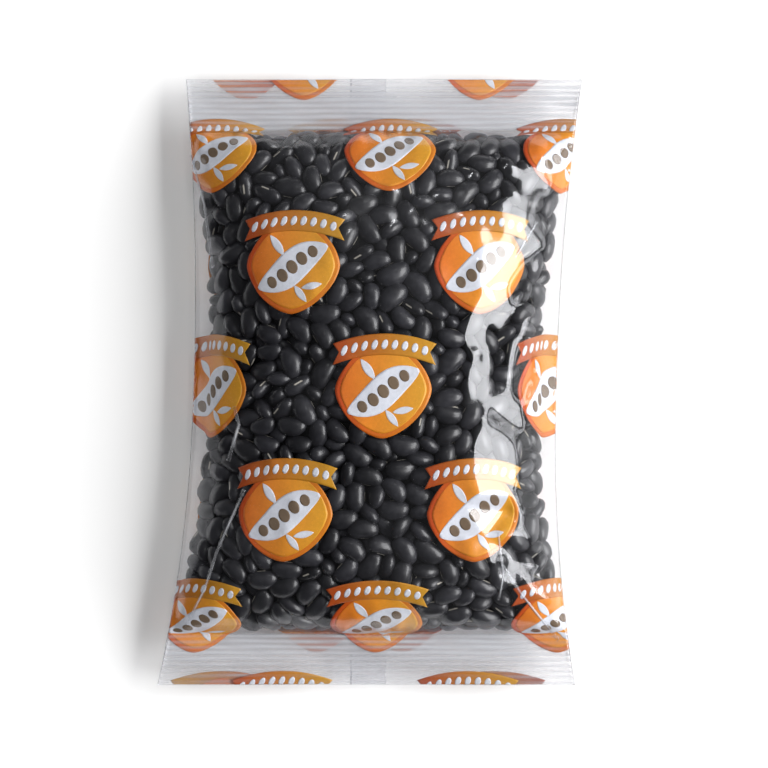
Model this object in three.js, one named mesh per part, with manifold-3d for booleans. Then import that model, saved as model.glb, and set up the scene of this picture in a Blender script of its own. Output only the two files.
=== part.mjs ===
// A clear plastic pillow bag of dried black beans, lying on its back with its printed front up.
//
// The bag is a flat tube of film, crimped shut across both ends. The beans push its middle out
// into a low cushion, which draws the sides in to a waist, and the film closes flat again along
// both sides and at the ribbed seals. The bag is shut, so it is one solid: the cushion, with the
// outermost beans standing out through the film as bumps, and the flat film round it.
//
// Millimetres. X runs across the bag, Y along it towards its top seal, Z up from the table.
// The origin is under the middle of the bag, on the face that it lies on.

import * as THREE from "three";
import { mergeVertices } from "three/addons/utils/BufferGeometryUtils.js";
import Module from "manifold-3d";

// The film, seen from above
const BAG_LENGTH = 214;
const TOP_WIDTH = 140;
const WAIST_WIDTH = 128;
const BOTTOM_WIDTH = 147.5;
const WAIST_CURVE = 2.2; // power of the curve from the waist to each seal
const TOP_LEAN = 6.3; // how far the top seal sits to the right of the bottom one

// The crimped seals
const SEAL_DEPTH = 18.5;
const RIB_PITCH = 2.05;
const RIB_HEIGHT = 0.3;
const FILM_PLATE = 0.9; // both films together, drawn thick enough to hold as a solid
const SEAL_DROOP = 3.5; // how far the outer edge of a seal hangs down
const SEAL_WAVE = 1.1;
const SEAL_WAVE_LENGTH = 107;

// The cushion of beans between the seals
const SEAM_HEIGHT = 12; // where the front and the back film meet
const CROWN = 25; // rise of the cushion above that
const SIDE_MARGIN = 5.5; // flat film outside the beans at the waist
const END_MARGIN = 4; // the same beside the seals
const RIM_HEIGHT = 1.5;
const FACE_OVERLAP = 0.4; // the two faces of the cushion share this much at the seam

// How the cushion's faces round off to their rims: a higher power keeps them full for longer
const CROWN_ACROSS = 2.6;
const CROWN_ALONG = 4.5;
const BELLY_ACROSS = 5;
const BELLY_ALONG = 9;
const RIM_SOFTNESS = 0.6;
const BELLY_PRESS = 1.15; // the belly would hang this much deeper if the table let it

// The beans
const BEAN_LENGTH = 10.6;
const BEAN_WIDTH = 7;
const BEAN_THICKNESS = 5.2;
const BEAN_SIZE_SPREAD = 0.14;
const BEAN_TILT = 0.3; // radians
const BEAN_TURN = 0.6; // radians, either way from lying straight across the bag
const BEAN_SPACING = 10.6; // from bean to bean in a row across the bag
const ROW_SPACING = 7.8; // from row to row along the bag
const ROW_WANDER = 0.02; // how far a row strays, as a share of the cushion's half size
const BEAN_STANDS_OUT = 2.2; // above the hollows between the beans
const FACETS_ON_TOP = 3; // to a bean, each way
const FACETS_BELOW = 2;

const halfLength = BAG_LENGTH / 2;
const cushionHalf = halfLength - SEAL_DEPTH;
const filmColumns = 6;
const filmMiddleRows = 12;

const wasm = await Module();
wasm.setup();

let seed = 20;

// A seeded draw from 0 to 1, the same on every run.
function draw() {
  seed = (seed + 0x6d2b79f5) | 0;
  let t = Math.imul(seed ^ (seed >>> 15), 1 | seed);
  t = (t + Math.imul(t ^ (t >>> 7), 61 | t)) ^ t;
  return ((t ^ (t >>> 14)) >>> 0) / 2 ** 32;
}

const spread = (amount) => amount * (2 * draw() - 1);

function solidFrom(geometry) {
  const bare = geometry.clone();
  bare.deleteAttribute("normal");
  bare.deleteAttribute("uv");
  const merged = mergeVertices(bare, 1e-4);
  return new wasm.Manifold(
    new wasm.Mesh({
      numProp: 3,
      vertProperties: merged.attributes.position.array,
      triVerts: new Uint32Array(merged.index.array),
    }),
  );
}

function geometryFrom(solid) {
  const mesh = solid.getMesh();
  const geometry = new THREE.BufferGeometry();
  geometry.setAttribute("position", new THREE.BufferAttribute(mesh.vertProperties, mesh.numProp));
  geometry.setIndex(new THREE.BufferAttribute(mesh.triVerts, 1));
  return geometry;
}

// A flat box, columns across and rows along, with each corner of its grid put where place says.
function shapedSlab(columns, rows, place) {
  const geometry = new THREE.BoxGeometry(columns, rows, 1, columns, rows, 1);
  const position = geometry.attributes.position;
  for (let i = 0; i < position.count; i += 1) {
    const column = Math.round(position.getX(i) + columns / 2);
    const row = Math.round(position.getY(i) + rows / 2);
    const point = place(column, row, position.getZ(i) > 0);
    position.setXYZ(i, point.x, point.y, point.z);
  }
  return geometry;
}

// Half the film's width at a place along the bag, wider towards each seal.
function filmHalfWidth(y) {
  const end = y > 0 ? TOP_WIDTH : BOTTOM_WIDTH;
  const share = Math.abs(y / halfLength) ** WAIST_CURVE;
  return (WAIST_WIDTH + (end - WAIST_WIDTH) * share) / 2;
}

const filmCentre = (y) => (TOP_LEAN / 2) * (y / halfLength);

function cushionHalfWidth(y) {
  const share = Math.abs(y / cushionHalf) ** WAIST_CURVE;
  return filmHalfWidth(y) - SIDE_MARGIN - (END_MARGIN - SIDE_MARGIN) * share;
}

// The height at which both films meet: level along the sides, hanging a little at the seals.
function seamHeight(x, y) {
  const past = Math.max(0, Math.abs(y) - cushionHalf) / SEAL_DEPTH;
  const wave = Math.sin((2 * Math.PI * x) / SEAL_WAVE_LENGTH + Math.sign(y));
  return SEAM_HEIGHT - SEAL_DROOP * past ** 1.5 + SEAL_WAVE * wave * past;
}

// How full a face of the cushion is at u across and v along: 1 in the middle, 0 at its rim.
function fullness(u, v, powerAcross, powerAlong) {
  const across = Math.max(0, 1 - Math.abs(u) ** powerAcross);
  const along = Math.max(0, 1 - Math.abs(v) ** powerAlong);
  return (across * along) ** RIM_SOFTNESS;
}

// A point of the smooth skin over the beans, at u across and v along.
function skinPoint(u, v, onTop) {
  const y = cushionHalf * v;
  const x = filmCentre(y) + cushionHalfWidth(y) * u;
  const crown = CROWN * fullness(u, v, CROWN_ACROSS, CROWN_ALONG);
  const belly = BELLY_PRESS * SEAM_HEIGHT * fullness(u, v, BELLY_ACROSS, BELLY_ALONG);
  const z = onTop ? RIM_HEIGHT / 2 + crown : -RIM_HEIGHT / 2 - belly;
  return new THREE.Vector3(x, y, SEAM_HEIGHT + z);
}

function outwardAt(u, v, onTop) {
  const step = 0.01;
  const inner = (value) => Math.max(step - 1, Math.min(1 - step, value));
  const [a, b] = [inner(u), inner(v)];
  const across = skinPoint(a + step, b, onTop).sub(skinPoint(a - step, b, onTop));
  const along = skinPoint(a, b + step, onTop).sub(skinPoint(a, b - step, onTop));
  const outward = onTop ? across.cross(along) : along.cross(across);
  return outward.normalize();
}

// Shares from -1 to 1 that cut a curve into pieces of about the same length.
function evenShares(curvePoint, pieceLength) {
  const samples = 400;
  const shares = Array.from({ length: samples + 1 }, (_, i) => (2 * i) / samples - 1);
  const points = shares.map(curvePoint);
  const reached = [0];
  for (let i = 1; i <= samples; i += 1) {
    reached.push(reached[i - 1] + points[i].distanceTo(points[i - 1]));
  }
  const count = Math.round(reached[samples] / pieceLength);
  const even = [];
  for (let piece = 0, i = 0; piece <= count; piece += 1) {
    while (i < samples && reached[i] < (reached[samples] * piece) / count - 1e-6) i += 1;
    even.push(shares[i]);
  }
  return even;
}

// The rows of beans aren't straight: a place, moved by slow waves that die out at the rim.
function wander(u, v) {
  const stray = ROW_WANDER * (1 - u ** 2) * (1 - v ** 2);
  return [u + stray * Math.sin(9 * v + 2 * u), v + stray * Math.sin(7 * u - 3 * v)];
}

// The lines of a face's grid, with a number of facets to each bean.
function gridLines(facets) {
  return {
    across: evenShares((share) => skinPoint(share, 0, true), BEAN_SPACING / facets),
    along: evenShares((share) => skinPoint(0, share, true), ROW_SPACING / facets),
  };
}

// A bean, as an ellipsoid that touches the skin from inside, and the matrix that undoes it.
function beanAt(u, v, onTop) {
  const outward = outwardAt(u, v, onTop);
  const centre = skinPoint(u, v, onTop).addScaledVector(outward, -BEAN_THICKNESS / 2);
  const facing = new THREE.Quaternion().setFromUnitVectors(new THREE.Vector3(0, 0, 1), outward);
  const lying = new THREE.Euler(spread(BEAN_TILT), spread(BEAN_TILT), spread(BEAN_TURN));
  const turn = facing.multiply(new THREE.Quaternion().setFromEuler(lying));
  const size = new THREE.Vector3(BEAN_LENGTH, BEAN_WIDTH, BEAN_THICKNESS);
  size.multiplyScalar((1 + spread(BEAN_SIZE_SPREAD)) / 2);
  return { centre, toUnitSphere: new THREE.Matrix4().compose(centre, turn, size).invert() };
}

// The outermost beans of one face, each between the lines of its grid, in rows that are out of
// step with each other.
function skinBeans(lines, facets, onTop) {
  const beans = [];
  for (let row = 0; row + facets < lines.along.length; row += facets) {
    const first = (row / facets) % 2;
    for (let column = first; column + facets < lines.across.length; column += facets) {
      const u = (lines.across[column] + lines.across[column + facets]) / 2;
      const v = (lines.along[row] + lines.along[row + facets]) / 2;
      beans.push(beanAt(...wander(u, v), onTop));
    }
  }
  return beans;
}

// How far a line from a point in a direction runs until it last leaves any of the beans.
function reachOverBeans(point, direction, beans) {
  let reach = 0;
  for (const bean of beans) {
    if (bean.centre.distanceTo(point) > BEAN_LENGTH) continue;
    const from = point.clone().applyMatrix4(bean.toUnitSphere);
    const along = point.clone().add(direction).applyMatrix4(bean.toUnitSphere).sub(from);
    const a = along.dot(along);
    const b = from.dot(along);
    const inside = b * b - a * (from.dot(from) - 1);
    if (inside > 0) reach = Math.max(reach, (Math.sqrt(inside) - b) / a);
  }
  return reach;
}

// One face of the cushion, closed level with the seam: the skin, sunk by as much as the beans
// stand out and pushed out again over each bean. What would reach under the table lies on it.
function cushionFace(onTop) {
  const facets = onTop ? FACETS_ON_TOP : FACETS_BELOW;
  const lines = gridLines(facets);
  const beans = skinBeans(lines, facets, onTop);
  const columns = lines.across.length - 1;
  const rows = lines.along.length - 1;
  return shapedSlab(columns, rows, (column, row, upper) => {
    const [u, v] = wander(lines.across[column], lines.along[row]);
    const point = skinPoint(u, v, onTop);
    if (upper !== onTop) {
      point.z = SEAM_HEIGHT + (onTop ? -FACE_OVERLAP : FACE_OVERLAP) / 2;
      return point;
    }
    const onRim = column === 0 || column === columns || row === 0 || row === rows;
    if (onRim) return point;
    const outward = outwardAt(u, v, onTop);
    point.addScaledVector(outward, -BEAN_STANDS_OUT);
    point.addScaledVector(outward, reachOverBeans(point, outward, beans));
    point.z = Math.max(0, point.z);
    return point;
  });
}

// The flat film: the outline of the whole bag, ribbed where the ends are crimped shut.
function flatFilm() {
  const ribRows = 2 * Math.round(SEAL_DEPTH / RIB_PITCH);
  const rows = 2 * ribRows + filmMiddleRows;
  return shapedSlab(filmColumns, rows, (column, row, upper) => {
    const fromEnd = Math.min(row, rows - row);
    const side = row * 2 < rows ? -1 : 1;
    const inSeal = fromEnd <= ribRows;
    const y = inSeal
      ? side * (halfLength - (SEAL_DEPTH * fromEnd) / ribRows)
      : cushionHalf * (((row - ribRows) / filmMiddleRows) * 2 - 1);
    const x = filmCentre(y) + filmHalfWidth(y) * ((2 * column) / filmColumns - 1);
    const rib = inSeal && fromEnd % 2 === 1 ? RIB_HEIGHT : 0;
    const z = seamHeight(x, y) + rib + (upper ? FILM_PLATE : -FILM_PLATE) / 2;
    return new THREE.Vector3(x, y, z);
  });
}

// The whole bag as one solid, with the middle of its width and length over the origin.
function filledBag() {
  const cushion = solidFrom(cushionFace(true)).add(solidFrom(cushionFace(false)));
  const geometry = geometryFrom(cushion.add(solidFrom(flatFilm())));
  geometry.computeBoundingBox();
  const middle = geometry.boundingBox.getCenter(new THREE.Vector3());
  return geometry.translate(-middle.x, -middle.y, 0);
}

const beansUnderFilm = new THREE.MeshStandardMaterial({
  color: "#2b2b30",
  roughness: 0.3,
  metalness: 0,
});
const bag = new THREE.Mesh(filledBag(), beansUnderFilm);
bag.name = "bag";

const model = new THREE.Group();
model.add(bag);

export default model;
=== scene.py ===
"""A clear pillow bag of dried black beans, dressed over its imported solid.

The bag's one solid is replaced by what the real bag is: loose beans, a crimped tube of clear
film drawn tight over them, its back seam, and the ink on the film. Shapes are worked out in
millimetres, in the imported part's frame, and become metres where a mesh is made.
"""

import math
from functools import partial
from types import SimpleNamespace

import bpy
import numpy as np
from bpy.props import FloatProperty, FloatVectorProperty, IntProperty, PointerProperty
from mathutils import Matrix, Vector
from mathutils.geometry import delaunay_2d_cdt


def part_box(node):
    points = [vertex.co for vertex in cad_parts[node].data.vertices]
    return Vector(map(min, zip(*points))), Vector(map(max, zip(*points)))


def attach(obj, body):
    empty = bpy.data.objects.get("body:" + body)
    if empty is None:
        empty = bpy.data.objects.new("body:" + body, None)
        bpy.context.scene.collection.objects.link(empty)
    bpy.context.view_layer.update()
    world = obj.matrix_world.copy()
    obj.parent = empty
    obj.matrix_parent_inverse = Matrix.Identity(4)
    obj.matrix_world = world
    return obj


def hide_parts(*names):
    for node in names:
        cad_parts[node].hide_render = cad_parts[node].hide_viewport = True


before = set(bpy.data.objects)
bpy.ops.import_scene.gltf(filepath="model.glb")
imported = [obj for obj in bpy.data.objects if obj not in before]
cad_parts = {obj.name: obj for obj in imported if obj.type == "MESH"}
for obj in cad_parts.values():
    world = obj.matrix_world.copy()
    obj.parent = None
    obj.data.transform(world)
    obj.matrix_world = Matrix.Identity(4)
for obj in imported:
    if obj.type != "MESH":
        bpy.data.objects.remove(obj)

bl_info = {
    "name": "Bag of dried beans",
    "version": (1, 0, 0),
    "blender": (4, 5, 0),
    "location": "3D View > Sidebar > Bean bag",
    "description": "Builds a clear printed pillow bag filled with dried black beans",
    "category": "Add Mesh",
}

MM = 0.001
TINY = 1e-9
NODE = "bag"
BODY = "root"

LOW, HIGH = (np.array(corner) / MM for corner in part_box(NODE))


def srgb(text):
    """Linear red, green and blue of an sRGB colour such as 1b1b20."""
    parts = [int(text[i : i + 2], 16) / 255 for i in (0, 2, 4)]
    return [p / 12.92 if p <= 0.04045 else ((p + 0.055) / 1.055) ** 2.4 for p in parts]


def colour(name, description, value):
    """A colour property with an sRGB hex default."""
    return FloatVectorProperty(
        name=name, description=description, default=srgb(value), subtype="COLOR", min=0, max=1
    )


def length(name, description, value):
    """A length property, given in millimetres and kept in metres."""
    return FloatProperty(name=name, description=description, default=value * MM, unit="LENGTH")


class BagSizes(bpy.types.PropertyGroup):
    """Sizes of the film bag."""

    length: length("Length", "From seal edge to seal edge", float(HIGH[1] - LOW[1]))
    bottom: length("Bottom width", "Across the bottom seal", 147.5)
    waist: length("Waist width", "Across the middle", 128.0)
    top: length("Top width", "Across the top seal", 140.0)
    lean: length("Lean", "How far the top seal sits right of the bottom one", 6.3)
    seal: length("Seal depth", "Depth of each crimped seal", 18.5)
    seam: length("Seam height", "Height at which both films meet", 12.0)
    crown: length("Crown", "Rise of the beans above the seam", 25.0)
    margin: length("Margin", "Flat film beside the beans", 5.5)
    rib: length("Rib pitch", "From rib to rib in the seals", 2.05)
    rib_height: length("Rib height", "Height of the ribs", 0.3)


class BeanSizes(bpy.types.PropertyGroup):
    """Sizes and number of the beans."""

    count: IntProperty(name="Count", description="Beans in the bag", default=2000, min=1)
    length: length("Length", "Length of a bean", 11.0)
    width: length("Width", "Width of a bean", 7.5)
    thickness: length("Thickness", "Thickness of a bean", 5.5)
    spread: FloatProperty(name="Spread", description="How sizes differ", default=0.07)
    seed: IntProperty(name="Seed", description="Start of the random draws", default=7)


class Colours(bpy.types.PropertyGroup):
    """Colours of beans, inks and floor."""

    bean: colour("Bean", "Seed coat", "232327")
    hilum: colour("Hilum", "Scar on the hollow side of a bean", "d8d2c4")
    orange: colour("Orange ink", "Badge, on its left", "cf6b20")
    amber: colour("Amber ink", "Badge, on its right", "d49a2a")
    ember: colour("Ember ink", "Rim of the badge, on its left", "b44512")
    tangerine: colour("Tangerine ink", "Rim of the badge, on its right", "cc7a1e")
    rust: colour("Rust ink", "Band, on its left", "a04519")
    gold: colour("Gold ink", "Band, on its right", "be8a26")
    white: colour("White ink", "Pod, leaves and dots", "cdd0d8")
    brown: colour("Brown ink", "Beans in the pod", "6e5d4b")
    floor: colour("Floor", "Pale floor", "fafafa")


class BeanBag(bpy.types.PropertyGroup):
    """All settings of the bag."""

    bag: PointerProperty(type=BagSizes)
    beans: PointerProperty(type=BeanSizes)
    colours: PointerProperty(type=Colours)


def measures(group):
    """The values of a property group, its lengths in millimetres."""
    values = {}
    for key, prop in group.bl_rna.properties.items():
        if key in group.bl_rna.base.properties:
            continue
        value = getattr(group, key)
        values[key] = value / MM if prop.unit == "LENGTH" else value
    return SimpleNamespace(**values)


# The bag's form. The powers say how square its crown and its belly are, across and along

CROWN_POWERS, BELLY_POWERS = (2.6, 4.5), (5, 9)
RIM_SOFTNESS = 0.6
BELLY_PRESS = 1.15
WAIST_CURVE = 2.2
MARGIN_AT_SEAL = -1.0
SEAL_DROOP, SEAL_DROOP_CURVE = 3.5, 1.5
SEAL_WAVE, SEAL_WAVE_LENGTH = 1.1, 107.0


class Form:
    """The bag's outline and the smooth skin over its beans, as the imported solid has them."""

    def __init__(self, bag):
        self.bag = bag
        self.half = bag.length / 2
        self.inner = self.half - bag.seal
        self.shift = (bag.bottom - bag.top) / 4

    def film_half(self, y):
        """Half the film's width: the waist's, plus a power of the share of the way to a seal."""
        end = np.where(y > 0, self.bag.top, self.bag.bottom)
        share = np.abs(y / self.half) ** WAIST_CURVE
        return (self.bag.waist + (end - self.bag.waist) * share) / 2

    def centre(self, y):
        """The middle of the film, leaning to the right towards the top."""
        return self.shift + self.bag.lean / 2 * y / self.half

    def bean_half(self, y):
        """Half the width of the bean mass: the film's less a margin that narrows to the seals."""
        share = np.minimum(1, np.abs(y / self.inner)) ** WAIST_CURVE
        return self.film_half(y) - self.bag.margin - (MARGIN_AT_SEAL - self.bag.margin) * share

    def fullness(self, x, y, powers):
        """1 in the middle of the beans and 0 at their rim, by a power across and one along."""
        across, along = powers
        u = (x - self.centre(y)) / self.bean_half(y)
        v = y / self.inner
        body = np.maximum(0, 1 - np.abs(u) ** across) * np.maximum(0, 1 - np.abs(v) ** along)
        return body**RIM_SOFTNESS

    def top(self, x, y):
        """Height of the skin over the beans: the seam's, plus the crown by its fullness."""
        return self.bag.seam + self.bag.crown * self.fullness(x, y, CROWN_POWERS)

    def under(self, x, y):
        """Height of the skin below the beans: it falls from the seam to the flat underside."""
        belly = self.fullness(x, y, BELLY_POWERS)
        return np.maximum(0, self.bag.seam * (1 - BELLY_PRESS * belly))

    def seam(self, x, y):
        """Where both films meet: level beside the beans, with a wave and a droop at the seals."""
        past = np.maximum(0, np.abs(y) - self.inner) / self.bag.seal
        wave = np.sin(2 * np.pi * (x - self.shift) / SEAL_WAVE_LENGTH + np.sign(y))
        return self.bag.seam - SEAL_DROOP * past**SEAL_DROOP_CURVE + SEAL_WAVE * wave * past


# Heights on a grid

GRID_STEP = 0.6
GRID_MARGIN = 6.0
JUST_INSIDE = 1.001
SLOPE_STEP = 0.5


def between(table, i, j):
    """A table read between its points: the four round each place, in proportion."""
    i = np.clip(i, 0, table.shape[0] - JUST_INSIDE)
    j = np.clip(j, 0, table.shape[1] - JUST_INSIDE)
    a, b = i.astype(int), j.astype(int)
    s, t = i - a, j - b
    near = table[a, b] * (1 - t) + table[a, b + 1] * t
    far = table[a + 1, b] * (1 - t) + table[a + 1, b + 1] * t
    return near * (1 - s) + far * s


class Sheet:
    """A square grid over the whole bag, for heights."""

    def __init__(self, half_width, half_length):
        self.x = np.arange(-half_width - GRID_MARGIN, half_width + GRID_MARGIN, GRID_STEP)
        self.y = np.arange(-half_length - GRID_MARGIN, half_length + GRID_MARGIN, GRID_STEP)
        self.X, self.Y = np.meshgrid(self.x, self.y, indexing="ij")

    def read(self, heights, x, y):
        """The height at any place of the bag."""
        return between(heights, (x - self.x[0]) / GRID_STEP, (y - self.y[0]) / GRID_STEP)


def neighbours_mean(z):
    """The mean of the four neighbours of each point of a grid."""
    mean = z.copy()
    mean[1:-1, 1:-1] = (z[:-2, 1:-1] + z[2:, 1:-1] + z[1:-1, :-2] + z[1:-1, 2:]) / 4
    return mean


def settled(z, held, rest, rounds, sag=0.0, block=-np.inf):
    """Heights after some rounds in which each point goes to the mean of its neighbours, less a
    sag, but not below what blocks it. Held points stay at rest."""
    for _ in range(rounds):
        z = np.where(held, rest, np.maximum(neighbours_mean(z) - sag, block))
    return z


def slopes(height, x, y):
    """How fast a height function rises across and along, from places a little to each side."""
    e = SLOPE_STEP
    across = (height(x + e, y) - height(x - e, y)) / (2 * e)
    along = (height(x, y + e) - height(x, y - e)) / (2 * e)
    return across, along


# Meshes


def new_mesh(name, points, quads=(), triangles=(), smooth=True):
    """A mesh object in metres from points in millimetres, four-sided and three-sided faces."""
    quads = np.asarray(quads, int).reshape(-1, 4)
    triangles = np.asarray(triangles, int).reshape(-1, 3)
    corners = np.concatenate([quads.ravel(), triangles.ravel()])
    sides = np.concatenate([np.full(len(quads), 4), np.full(len(triangles), 3)])
    mesh = bpy.data.meshes.new(name)
    mesh.vertices.add(len(points))
    mesh.vertices.foreach_set("co", (np.asarray(points) * MM).astype(np.float32).ravel())
    mesh.loops.add(len(corners))
    mesh.loops.foreach_set("vertex_index", corners.astype(np.int32))
    mesh.polygons.add(len(sides))
    mesh.polygons.foreach_set("loop_start", (np.cumsum(sides) - sides).astype(np.int32))
    mesh.polygons.foreach_set("use_smooth", np.full(len(sides), smooth))
    mesh.update(calc_edges=True)
    mesh.validate()
    piece = bpy.data.objects.new(name, mesh)
    bpy.context.scene.collection.objects.link(piece)
    return piece


def point_map(piece, name, pairs):
    """Stores a UV map from two numbers for each point of a piece."""
    mesh = piece.data
    corner = np.empty(len(mesh.loops), np.int32)
    mesh.loops.foreach_get("vertex_index", corner)
    layer = mesh.uv_layers.new(name=name)
    layer.uv.foreach_set("vector", pairs[corner].astype(np.float32).ravel())


def grid_quads(columns, rows):
    """Quads of a grid of points, facing along its first direction cross its second."""
    corner = np.arange(columns)[:, None] * (rows + 1) + np.arange(rows)
    return np.stack([corner, corner + rows + 1, corner + rows + 2, corner + 1], -1).reshape(-1, 4)


def closed_pair(x, y, top, low):
    """One closed mesh of two grids of heights over the same places, joined at their rims: its
    points, its faces, and the number of each point of the lower grid. A corner face starts at
    its only inner point, so both of its halves reach it."""
    columns, rows = x.shape[0] - 1, x.shape[1] - 1
    number = np.arange((columns + 1) * (rows + 1)).reshape(columns + 1, rows + 1)
    inner = np.zeros(number.shape, bool)
    inner[1:-1, 1:-1] = True
    other = number.copy()
    other[inner] = number.size + np.arange(inner.sum())
    points = np.concatenate([np.dstack([x, y, top]).reshape(-1, 3), np.dstack([x, y, low])[inner]])
    quads = grid_quads(columns, rows)
    quads = np.concatenate([quads, other.ravel()[quads][:, ::-1]])
    within = np.ones(len(points), bool)
    within[number[~inner]] = False
    first = np.argmax(within[quads], 1) * (within[quads].sum(1) == 1)
    order = (first[:, None] + np.arange(4)) % 4
    return points, np.take_along_axis(quads, order, 1), other


def rim_walls(quads, size):
    """Quads that join the open edges of a skin to those of its copy, size points further on."""
    edges = np.stack([quads, np.roll(quads, -1, 1)], -1).reshape(-1, 2)
    key = edges.min(1) * size + edges.max(1)
    _, first, times = np.unique(key, return_index=True, return_counts=True)
    a, b = edges[first[times == 1]].T
    return np.stack([b, a, a + size, b + size], -1)


# Packing the beans. Each is four spheres: their places along and across it and their radius are
# shares of its length, width and thickness

SPHERES = np.array([[-0.28, 0, 0.44], [0.28, 0, 0.44], [0, -0.14, 0.5], [0, 0.14, 0.5]])
STREWN_AT_ONCE = 4000
STREWN_GAP = 1.0
LEAST_FULLNESS = 0.02
FLATNESS = 1.6
PACK_STEPS = 220
CELL = 6.2
SEARCH_EVERY, SEARCH_REACH = 8, 1.2
PUSH_SHARE, INERTIA = 0.45, 14.0
MOST_MOVE, MOST_SPIN = 1.5, 0.3
LEAST_SPIN = 1e-12
FLOOR_GAP, FILM_GAP = 0.75, 0.45
END_GAP, SIDE_GAP, EDGE_GAP = 1.3, 0.6, 2.0


def unit(vectors):
    """Each row of an array, brought to a length of 1."""
    return vectors / np.linalg.norm(vectors, axis=1)[:, None]


def turned(frames, spin):
    """Frames of three axes, each turned about its own spin vector by that vector's length."""
    angle = np.linalg.norm(spin, axis=1)[:, None, None] + LEAST_SPIN
    axis = spin[:, None, :] / angle
    along = (axis * frames).sum(-1, keepdims=True)
    return (
        frames * np.cos(angle)
        + np.cross(np.broadcast_to(axis, frames.shape), frames) * np.sin(angle)
        + axis * along * (1 - np.cos(angle))
    )


def near_pairs(points, radii, owner):
    """Pairs of spheres of different beans that touch or nearly do, found cell by cell: cells are
    numbered in order, and each looks into itself and the half of its neighbours after it."""
    cells = np.floor((points - points.min(0)) / CELL).astype(int) + 1
    dims = cells.max(0) + 2
    key = (cells[:, 0] * dims[1] + cells[:, 1]) * dims[2] + cells[:, 2]
    order = np.argsort(key, kind="stable")
    ranked = key[order]
    first, second = [], []
    for step in np.ndindex(3, 3, 3):
        dx, dy, dz = (s - 1 for s in step)
        offset = (dx * dims[1] + dy) * dims[2] + dz
        if offset < 0:
            continue
        low = np.searchsorted(ranked, key + offset, "left")
        count = np.searchsorted(ranked, key + offset, "right") - low
        a = np.repeat(np.arange(len(points)), count)
        b = order[np.arange(len(a)) + np.repeat(low - np.cumsum(count) + count, count)]
        keep = (owner[a] != owner[b]) & ((a < b) | (offset > 0))
        a, b = a[keep], b[keep]
        gap = ((points[a] - points[b]) ** 2).sum(1)
        close = gap < (radii[a] + radii[b] + SEARCH_REACH) ** 2
        first.append(a[close])
        second.append(b[close])
    return np.concatenate(first), np.concatenate(second)


def wall_push(points, radii, height, side):
    """How far spheres reach through a wall of the given height function, along its slope."""
    x, y, z = points.T
    across, along = slopes(height, x, y)
    normal = unit(np.stack([-across, -along, np.ones_like(across)], 1) * side)
    deep = radii - (z - height(x, y)) * normal[:, 2]
    return normal * np.maximum(0, deep)[:, None]


def rim_push(form, points, radii):
    """How far spheres reach past the seals and past the fold at each side."""
    x, y, _ = points.T
    over = np.abs(y) + radii - (form.inner - END_GAP)
    room = np.minimum(form.bean_half(y) + SIDE_GAP, form.film_half(y) - EDGE_GAP)
    wide = np.abs(x - form.centre(y)) + radii - room
    push = np.zeros_like(points)
    push[:, 0] = -np.sign(x - form.centre(y)) * np.maximum(0, wide)
    push[:, 1] = -np.sign(y) * np.maximum(0, over)
    return push


def strewn_places(form, count, rng):
    """Random places between the bag's two skins."""
    reach = np.array([form.bag.bottom / 2, form.inner, form.bag.crown + form.bag.seam])
    places = np.empty((0, 3))
    while len(places) < count:
        p = rng.uniform([-1, -1, 0], [1, 1, 1], (STREWN_AT_ONCE, 3)) * reach
        x, y, z = p.T
        inside = form.fullness(x, y, CROWN_POWERS) > LEAST_FULLNESS
        inside &= (z < form.top(x, y) - STREWN_GAP) & (z > STREWN_GAP)
        inside &= z > form.under(x, y) + STREWN_GAP
        places = np.concatenate([places, p[inside]])
    return places[:count]


def strewn_frames(count, rng):
    """Random axes along a bean's length, width and thickness, the last mostly upright."""
    flat = unit(rng.normal(size=(count, 3)) + [0, 0, FLATNESS])
    wide = unit(np.cross(flat, rng.normal(size=(count, 3))))
    return np.stack([np.cross(wide, flat), wide, flat], 1)


def packed_beans(form, sizes):
    """Shakes the beans into the bag: their spheres are pushed out of each other and the walls,
    and what pushes a bean off its centre turns it. Gives centres, axes and half sizes."""
    rng = np.random.default_rng(sizes.seed)
    centre = strewn_places(form, sizes.count, rng)
    count = len(centre)
    frames = strewn_frames(count, rng)
    size = 1 + rng.normal(0, sizes.spread, count).clip(-2 * sizes.spread, 2 * sizes.spread)
    scale = size[:, None] * np.array([sizes.length, sizes.width, sizes.thickness])
    local = np.zeros((count, len(SPHERES), 3))
    local[:, :, 0] = SPHERES[:, 0] * scale[:, :1]
    local[:, :, 1] = SPHERES[:, 1] * scale[:, 1:2]
    radii = (SPHERES[:, 2] * scale[:, 2:]).ravel()
    owner = np.repeat(np.arange(count), len(SPHERES))
    for step in range(PACK_STEPS):
        arms = np.einsum("nkj,nji->nki", local, frames)
        points = (centre[:, None, :] + arms).reshape(-1, 3)
        if step % SEARCH_EVERY == 0:
            a, b = near_pairs(points, radii, owner)
        apart = points[a] - points[b]
        gap = np.linalg.norm(apart, axis=1) + TINY
        push = apart * (np.maximum(0, radii[a] + radii[b] - gap) / gap / 2)[:, None]
        sums = [np.bincount(a, p, len(points)) - np.bincount(b, p, len(points)) for p in push.T]
        force = np.stack(sums, 1)
        force += wall_push(points, radii + FILM_GAP, form.top, -1)
        force += wall_push(points, radii + FLOOR_GAP, form.under, 1)
        force += rim_push(form, points, radii)
        force = force.reshape(count, -1, 3)
        move = force.sum(1) * PUSH_SHARE
        spin = np.cross(arms, force).sum(1) * (PUSH_SHARE / INERTIA)
        for change, most in ((move, MOST_MOVE), (spin, MOST_SPIN)):
            amount = np.linalg.norm(change, axis=1)[:, None]
            change *= np.minimum(1, most / np.maximum(amount, TINY))
        centre = centre + move
        frames = turned(frames, spin)
    reach = np.sqrt(((frames[:, :, 2] * scale / 2) ** 2).sum(1))
    centre[:, 2] = np.maximum(centre[:, 2], reach + FLOOR_GAP)
    return centre, frames, scale / 2


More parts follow.
